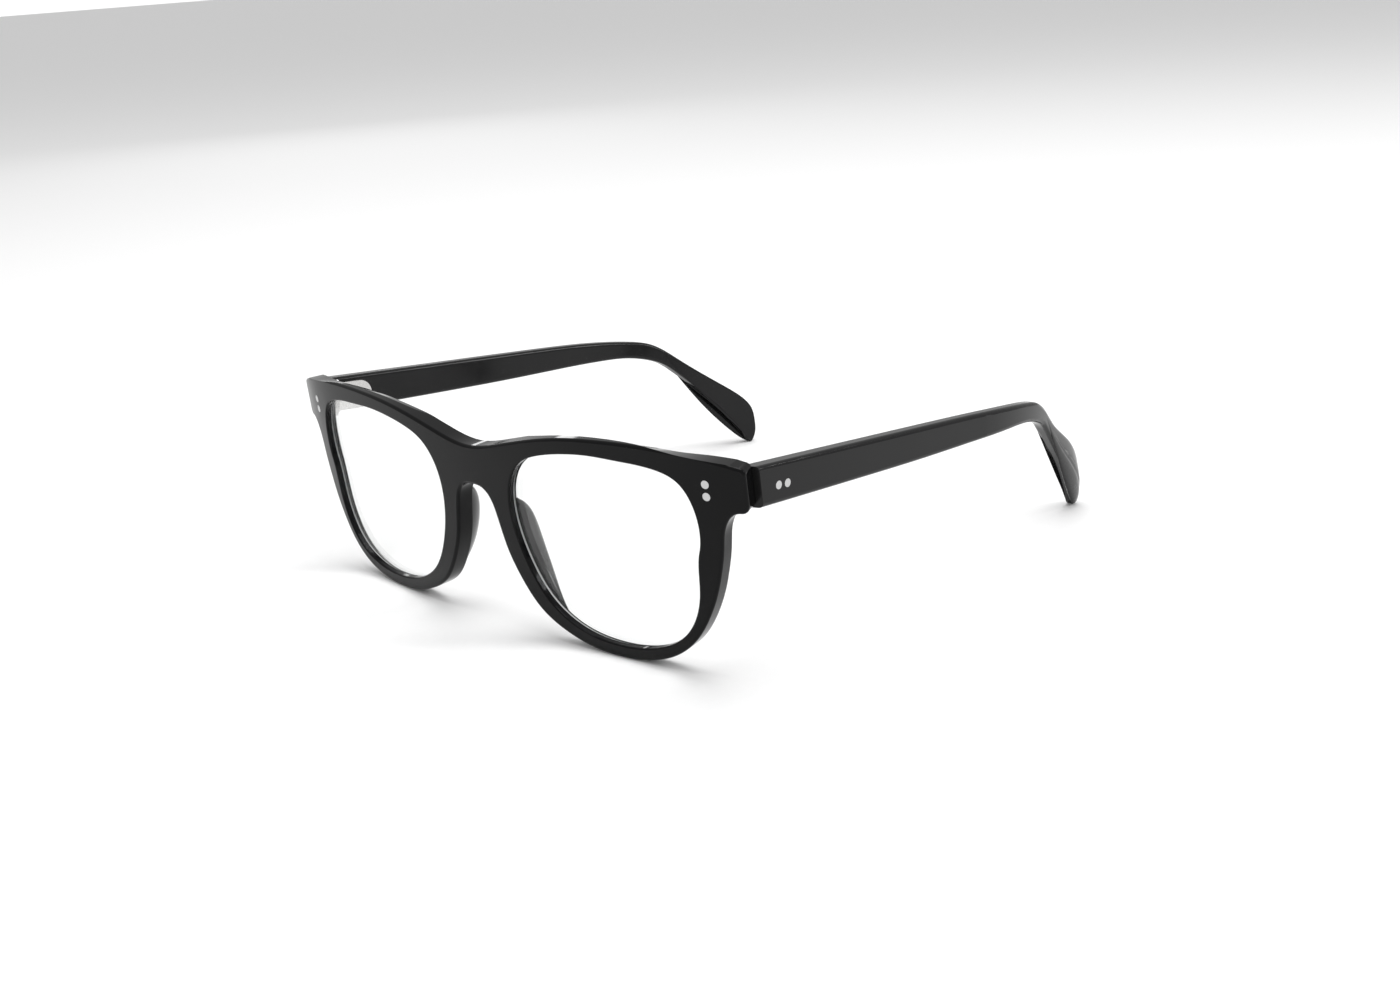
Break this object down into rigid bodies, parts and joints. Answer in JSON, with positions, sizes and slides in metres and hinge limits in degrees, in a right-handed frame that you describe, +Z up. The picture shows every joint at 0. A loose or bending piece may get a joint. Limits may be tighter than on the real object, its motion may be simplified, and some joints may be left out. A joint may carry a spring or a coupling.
{
  "type": "eyeglasses",
  "caption": "Full-rim acetate eyeglasses with clear lenses, saddle bridge, built-up nose pads and temples folding on riveted barrel hinges.",
  "frame": {"origin": "under the middle of the pair, on the surface it stands on: the centre of the overall box in plan, at its bottom", "axes": "+X to the wearer's left, +Y from the front back to the ear tips, +Z up; metres"},
  "size_m": [0.1416, 0.1393, 0.0459],
  "materials": {
    "front_acetate": "polished",
    "temple_acetate": "polished",
    "pad_acetate": "polished",
    "lens": "polished",
    "hinge_metal": "satin",
    "hinge_screw": "polished",
    "rivet_metal": "polished",
    "core_wire": "satin"
  },
  "bodies": {
    "front": {"front_frame": "front_acetate", "lens_left": "lens", "nose_pad_left": "pad_acetate", "hinge_front_leaf_left": "hinge_metal", "hinge_screw_left": "hinge_screw", "front_rivet_lower_left": "rivet_metal", "front_rivet_upper_left": "rivet_metal", "lens_right": "lens", "nose_pad_right": "pad_acetate", "hinge_front_leaf_right": "hinge_metal", "hinge_screw_right": "hinge_screw", "front_rivet_lower_right": "rivet_metal", "front_rivet_upper_right": "rivet_metal"},
    "temple_left_arm": {"temple_left": "temple_acetate", "core_wire_left": "core_wire", "hinge_temple_leaf_left": "hinge_metal", "temple_rivet_front_left": "rivet_metal", "temple_rivet_rear_left": "rivet_metal"},
    "temple_right_arm": {"temple_right": "temple_acetate", "core_wire_right": "core_wire", "hinge_temple_leaf_right": "hinge_metal", "temple_rivet_front_right": "rivet_metal", "temple_rivet_rear_right": "rivet_metal"}
  },
  "joints": [
    {"name": "temple_left_hinge", "type": "hinge", "parent": "front", "child": "temple_left_arm", "pos_m": [0.06525, -0.0569, 0.03845], "axis": [0, 0, 1], "range_deg": [0, 84]},
    {"name": "temple_right_hinge", "type": "hinge", "parent": "front", "child": "temple_right_arm", "pos_m": [-0.06525, -0.0569, 0.03845], "axis": [0, 0, -1], "range_deg": [0, 74]}
  ]
}
